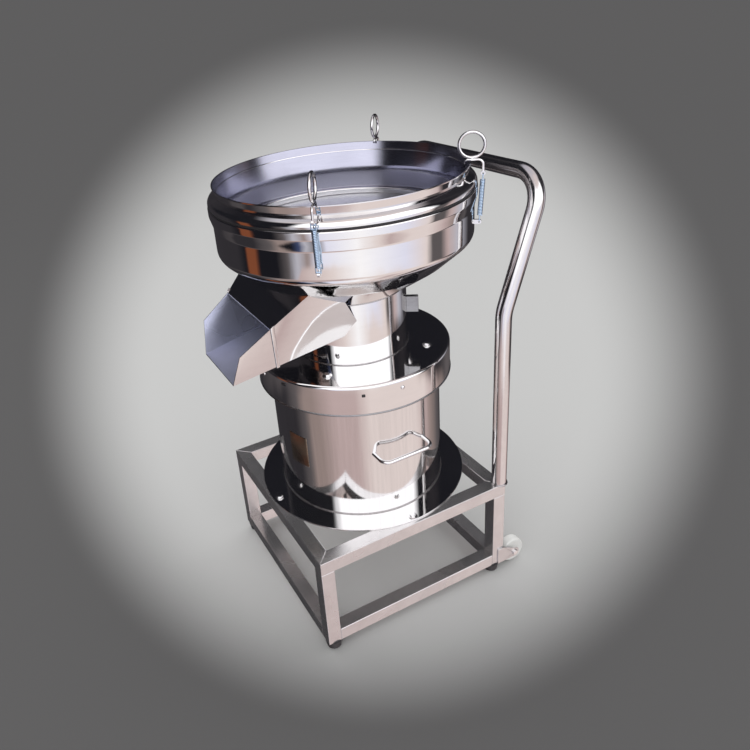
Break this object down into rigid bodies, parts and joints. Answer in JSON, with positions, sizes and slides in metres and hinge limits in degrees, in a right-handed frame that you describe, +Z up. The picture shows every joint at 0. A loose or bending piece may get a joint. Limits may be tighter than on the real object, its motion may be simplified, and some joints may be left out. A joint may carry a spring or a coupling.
{
  "type": "vibrating sieve",
  "caption": "Upright round vibrating filter sieve on a wheeled square-tube trolley, with a lift-out sieve ring held by spring hooks and a tapered discharge chute.",
  "frame": {"origin": "on the floor, at the middle of the outline seen from above", "axes": "+Z up along the axis of drum and sieve, -Y toward the chute's mouth, +Y toward the push handle, +X to the right seen from the chute"},
  "size_m": [0.521, 0.6212, 0.9997],
  "materials": {
    "polished_steel": "mirror polished stainless steel",
    "satin_steel": "satin stainless steel",
    "spring_zinc": "blue zinc plated wire",
    "bright_wire": "bright drawn wire",
    "black_rubber": "matt",
    "white_nylon": "semi gloss",
    "motor_paint": "satin paint",
    "weight_iron": "machined",
    "gland_plastic": "matt"
  },
  "bodies": {
    "cart": {"push_handle": "polished_steel", "base_plate": "polished_steel", "base_bolts": "bright_wire", "drum": "polished_steel", "spring_seat": "satin_steel", "cable_gland": "gland_plastic", "drum_handle_left": "bright_wire", "drum_handle_right": "bright_wire", "wheel_fork_left": "satin_steel", "wheel_fork_right": "satin_steel", "wheel_axle_left": "bright_wire", "wheel_axle_right": "bright_wire", "leg_front_left": "satin_steel", "leg_front_right": "satin_steel", "leg_rear_left": "satin_steel", "leg_rear_right": "satin_steel", "top_rail_front": "satin_steel", "top_rail_rear": "satin_steel", "top_rail_left": "satin_steel", "top_rail_right": "satin_steel", "low_rail_front": "satin_steel", "low_rail_rear": "satin_steel", "low_rail_left": "satin_steel", "low_rail_right": "satin_steel", "foot_front_left": "black_rubber", "foot_front_right": "black_rubber", "foot_rear_left": "black_rubber", "foot_rear_right": "black_rubber"},
    "vibrating_body": {"dust_cover": "polished_steel", "cover_bolts": "bright_wire", "isolation_springs": "spring_zinc", "motor_mount": "satin_steel", "motor_housing": "motor_paint", "neck": "polished_steel", "neck_floor": "satin_steel", "neck_lug": "polished_steel", "chute": "polished_steel", "chute_band": "polished_steel", "bowl": "polished_steel", "bowl_ears": "bright_wire", "seal": "black_rubber", "spring_front": "spring_zinc", "spring_right": "spring_zinc", "spring_rear": "spring_zinc"},
    "motor_rotor": {"motor_shaft": "weight_iron", "weight_upper": "weight_iron", "weight_lower": "weight_iron"},
    "sieve": {"sieve_ring": "satin_steel", "sieve_mesh": "satin_steel", "mesh_clamp": "satin_steel"},
    "wheel_body_left": {"wheel_left": "white_nylon"},
    "wheel_body_right": {"wheel_right": "white_nylon"},
    "hook_body_front": {"hook_front": "bright_wire", "pull_ring_front": "bright_wire"},
    "hook_body_right": {"hook_right": "bright_wire", "pull_ring_right": "bright_wire"},
    "hook_body_rear": {"hook_rear": "bright_wire", "pull_ring_rear": "bright_wire"}
  },
  "joints": [
    {"name": "suspension", "type": "slide", "parent": "cart", "child": "vibrating_body", "axis": [0, 0, 1], "range_m": [-0.003, 0.003], "stiffness_N_per_m": 150000, "springref_m": 0.00316, "deforming": ["isolation_springs"]},
    {"name": "motor_spin", "type": "hinge", "parent": "vibrating_body", "child": "motor_rotor", "pos_m": [0, -0.00864, 0.426], "axis": [0, 0, 1], "continuous": true},
    {"name": "sieve_lift", "type": "slide", "parent": "vibrating_body", "child": "sieve", "axis": [0, 0, 1], "range_m": [0, 0.025]},
    {"name": "wheel_turn_left", "type": "hinge", "parent": "cart", "child": "wheel_body_left", "pos_m": [-0.2057, 0.24896, 0.032], "axis": [1, 0, 0], "continuous": true},
    {"name": "wheel_turn_right", "type": "hinge", "parent": "cart", "child": "wheel_body_right", "pos_m": [0.2243, 0.24896, 0.032], "axis": [1, 0, 0], "continuous": true},
    {"name": "hook_swing_front", "type": "hinge", "parent": "vibrating_body", "child": "hook_body_front", "pos_m": [0.21237, -0.17456, 0.92177], "axis": [0.6157, 0.788, 0], "range_deg": [0, 145]},
    {"name": "hook_swing_right", "type": "hinge", "parent": "vibrating_body", "child": "hook_body_right", "pos_m": [0.1696, 0.20081, 0.92177], "axis": [-0.7771, 0.6293, 0], "range_deg": [0, 145]},
    {"name": "hook_swing_rear", "type": "hinge", "parent": "vibrating_body", "child": "hook_body_rear", "pos_m": [-0.18033, 0.19164, 0.92177], "axis": [-0.7431, -0.6691, 0], "range_deg": [0, 145]}
  ],
  "couplings": [
    {"joint": "hook_swing_front", "follows": "sieve_lift", "rad_per_m": 100},
    {"joint": "hook_swing_right", "follows": "sieve_lift", "rad_per_m": 100},
    {"joint": "hook_swing_rear", "follows": "sieve_lift", "rad_per_m": 100}
  ]
}
